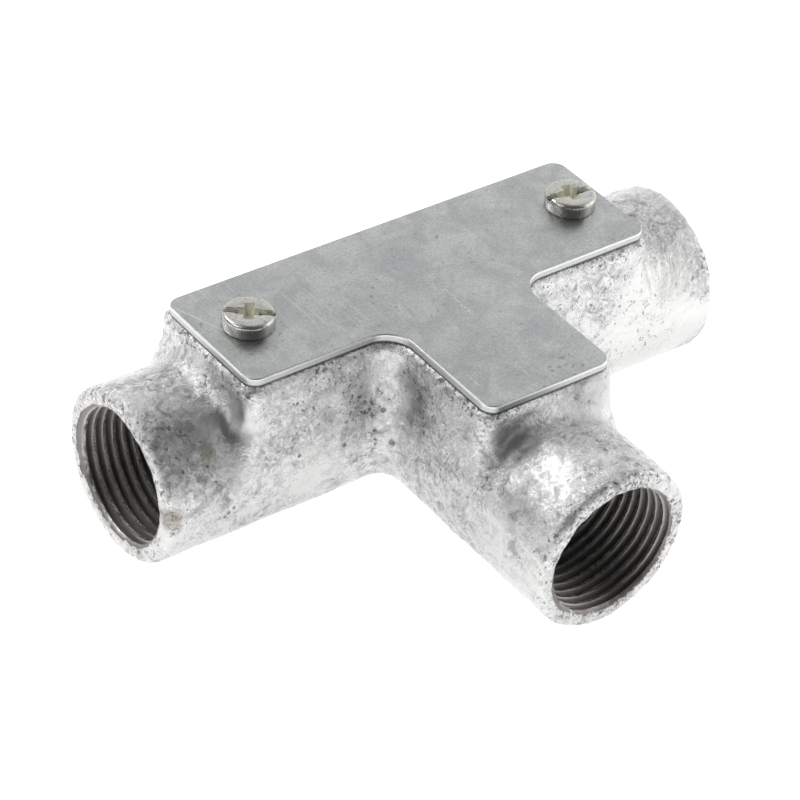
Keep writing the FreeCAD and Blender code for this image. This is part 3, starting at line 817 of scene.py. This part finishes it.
def recess_cutter(shape, height, turn):
    """One pair of arms of the cross recess: they widen upwards, and their ends slope in
    towards the middle."""
    bpy.ops.mesh.primitive_cube_add(
        size=1, location=(0, 0, height),
        scale=(shape.recess_span, shape.slot_width, 2 * shape.recess_depth))
    cutter = bpy.context.object
    settle(cutter)
    bpy.ops.object.mode_set(mode="EDIT")
    pick_faces(cutter, lambda face: face.normal.z < -FLAT)
    bpy.ops.transform.resize(value=(0.35, 0.8, 1))
    pick_faces(cutter, lambda face: face.normal.z > FLAT)
    bpy.ops.transform.resize(value=(1.15, 1.7, 1))
    bpy.ops.object.mode_set(mode="OBJECT")
    cutter.rotation_euler.z = turn
    settle(cutter)
    return cutter


def screw_shank(shape, crest, length):
    """Threaded shank that hangs under the origin: a core with one ridge wound round it."""
    root = crest - shape.thread_depth
    bpy.ops.mesh.primitive_cylinder_add(
        vertices=SMALL_ROUND, radius=root, depth=length,
        location=(0, 0, -length / 2), enter_editmode=True)
    core = bpy.context.object
    pick_faces(core, lambda face: face.normal.z < -FLAT)
    bpy.ops.mesh.region_to_loop()
    bpy.ops.mesh.bevel(offset=root / 4, segments=2)
    bpy.ops.object.mode_set(mode="OBJECT")
    settle(core)
    pitch = shape.screw_pitch
    base, base_half, crest_half, spare = root - 0.1 * MM, 0.42 * pitch, 0.06 * MM, 0.1 * MM
    section = [(base, base_half), (crest, crest_half), (crest, -crest_half),
               (base, -base_half)]
    turns = math.floor((length - 2 * base_half - 2 * spare) / pitch)
    ridge = wind("ridge", section, -length + base_half + spare, pitch, turns, SMALL_ROUND)
    apply_modifier(core, "BOOLEAN", operation="UNION", solver="MANIFOLD", object=ridge)
    bpy.data.objects.remove(ridge)
    return core


def model_screw(shape, finishes):
    """One cover screw at the origin, its head on Z = 0 and its slot along X. The second of
    its finishes lies in the recess."""
    low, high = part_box("screw_left")
    seat = COVER_HIGH.z
    radius, height, crest = (high.x - low.x) / 2, high.z - seat, 1.6 * MM
    screw = screw_head(shape, radius, height)
    for finish in finishes:
        screw.data.materials.append(finish)
    cut(screw, slot_cutter(shape, radius, height))
    for turn in (0, math.pi / 2):
        cut(screw, recess_cutter(shape, height, turn))
    apply_modifier(screw, "BEVEL", width=0.07 * MM, segments=2, limit_method="ANGLE",
                   angle_limit=math.radians(35))
    underside, film_top, film_radius = 0.1 * MM, height - 0.12 * MM, 0.75 * radius
    for face in screw.data.polygons:
        in_recess = Vector(face.center[:2]).length < film_radius
        face.material_index = int(in_recess and underside < face.center.z < film_top)
    shank = screw_shank(shape, crest, seat - low.z)
    select_only(screw, shank)
    bpy.ops.object.join()
    bpy.ops.object.shade_smooth_by_angle(angle=math.radians(32))
    return screw


class TEE_OT_screws(bpy.types.Operator):
    """Model one cover screw and set a copy at each place"""
    bl_idname = "tee.screws"
    bl_label = "Screws"

    def execute(self, context):
        shape = context.scene.tee_shape
        colours = context.scene.tee_colours
        pattern = model_screw(shape, (plating_material(colours), film_and_sheen_material(colours)))
        for node, turn in (("screw_left", shape.left_turn), ("screw_right", shape.right_turn)):
            screw = pattern.copy()
            screw.data = pattern.data.copy()
            screw.name = screw.data.name = f"{node}_finished"
            context.collection.objects.link(screw)
            screw.rotation_euler.z = turn
            screw.location = over_node(node, COVER_HIGH.z)
            settle(screw)
            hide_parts(node)
            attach(screw, node)
        bpy.data.objects.remove(pattern)
        return {"FINISHED"}


def add_lamp(name, place, target, size, power):
    """Soft square lamp facing a target."""
    lamp = bpy.data.lights.new(name, "AREA")
    lamp.size = size
    lamp.energy = power
    holder = bpy.data.objects.new(name, lamp)
    holder.location = place
    holder.rotation_euler = (Vector(target) - Vector(place)).to_track_quat("-Z", "Y").to_euler()
    bpy.context.collection.objects.link(holder)


def add_camera(stage):
    """Camera that looks at its aim along a heading and a dip, with a little roll."""
    lens = bpy.data.cameras.new("camera")
    lens.lens = stage.lens
    lens.clip_start = 10 * MM
    camera = bpy.data.objects.new("camera", lens)
    turn = (Matrix.Rotation(-stage.heading, 4, "Z")
            @ Matrix.Rotation(math.pi / 2 - stage.dip, 4, "X")
            @ Matrix.Rotation(stage.roll, 4, "Z"))
    back = turn @ Vector((0, 0, stage.distance))
    camera.matrix_world = Matrix.Translation(Vector(stage.aim) + back) @ turn
    bpy.context.collection.objects.link(camera)
    bpy.context.scene.camera = camera


def add_floor(stage):
    """Wide pale floor that the tee lies on. It glows only where it is seen, by the camera or
    in the gloss of the metal."""
    bpy.ops.mesh.primitive_plane_add(size=6, location=(0, 0, 0))
    floor = bpy.context.object
    floor.name = "floor"
    material, tree, _ = new_material("studio_floor")
    path = add_node(tree, "LightPath")
    paint = add_node(tree, "BsdfDiffuse", {"Color": linear("F4F4F4")})
    seen = add_node(tree, "Math", {
        0: path.outputs["Is Camera Ray"], 1: path.outputs["Is Glossy Ray"]},
        operation="MAXIMUM")
    strength = add_node(tree, "Math", {0: seen, 1: stage.floor_glow}, operation="MULTIPLY")
    glow = add_node(tree, "Emission", {"Color": linear("FFFFFF"), "Strength": strength})
    both = add_node(tree, "AddShader", {0: paint, 1: glow})
    add_node(tree, "OutputMaterial", {"Surface": both})
    floor.data.materials.append(material)
    settle(floor)


def set_world(stage):
    """White to the eye. As light, pale behind the tee and dimmer on the side it is seen from,
    as a studio table with an unlit room in front of it."""
    world = bpy.data.worlds.new("studio")
    bpy.context.scene.world = world
    world.use_nodes = True
    tree = world.node_tree
    tree.nodes.clear()
    direction = add_node(tree, "TexCoord").outputs["Generated"]
    light = stage.room_light
    for turn, start, strength in ((0, -0.4, stage.table_light - stage.room_light),
                                  (math.radians(45), 0.2, stage.window_light)):
        behind = Vector((math.sin(stage.heading + turn), math.cos(stage.heading + turn), 0))
        facing = add_node(tree, "VectorMath", {0: direction, 1: behind},
                          operation="DOT_PRODUCT")
        glow = add_node(tree, "MapRange", {
            "Value": facing, "From Min": start, "From Max": 1.0, "To Max": strength},
            interpolation_type="SMOOTHSTEP")
        light = add_node(tree, "Math", {0: glow, 1: light}, operation="ADD")
    camera_ray = add_node(tree, "LightPath").outputs["Is Camera Ray"]
    strength = add_node(tree, "Math", {0: camera_ray, 1: light}, operation="MAXIMUM")
    background = add_node(tree, "Background", {
        "Color": linear("FFFFFF"), "Strength": strength})
    add_node(tree, "OutputWorld", {"Surface": background})


class TEE_OT_stage(bpy.types.Operator):
    """Set up the camera, lamps and floor"""
    bl_idname = "tee.stage"
    bl_label = "Stage"

    def execute(self, context):
        stage = context.scene.tee_stage
        add_camera(stage)
        target = Vector(stage.aim)
        for name, (offset, size) in LAMPS.items():
            power = getattr(stage, f"{name}_power")
            add_lamp(name, target + Vector(offset), target, size, power)
        add_floor(stage)
        set_world(stage)
        context.scene.view_settings.view_transform = "Standard"
        return {"FINISHED"}


class TEE_PT_panel(bpy.types.Panel):
    """Lists the tee's pieces in the sidebar"""
    bl_idname = "TEE_PT_panel"
    bl_label = "Inspection Tee"
    bl_space_type = "VIEW_3D"
    bl_region_type = "UI"
    bl_category = "Inspection Tee"

    def draw(self, context):
        for settings in (context.scene.tee_shape, context.scene.tee_colours,
                         context.scene.tee_stage):
            column = self.layout.column()
            for name in settings.bl_rna.properties.keys():
                if name not in ("rna_type", "name"):
                    column.prop(settings, name)
        for step in STEPS:
            self.layout.operator(step.bl_idname)


STEPS = (TEE_OT_stage, TEE_OT_casting, TEE_OT_cover, TEE_OT_screws)
GROUPS = {"tee_shape": TeeShape, "tee_colours": TeeColours, "tee_stage": TeeStage}


def register():
    for kind in (*GROUPS.values(), *STEPS, TEE_PT_panel):
        bpy.utils.register_class(kind)
    for name, kind in GROUPS.items():
        setattr(bpy.types.Scene, name, bpy.props.PointerProperty(type=kind))


def unregister():
    for name in GROUPS:
        delattr(bpy.types.Scene, name)
    for kind in (TEE_PT_panel, *reversed(STEPS), *GROUPS.values()):
        bpy.utils.unregister_class(kind)


def main():
    register()
    bpy.ops.tee.stage()
    bpy.ops.tee.casting()
    bpy.ops.tee.cover()
    bpy.ops.tee.screws()


if __name__ == "__main__":
    main()
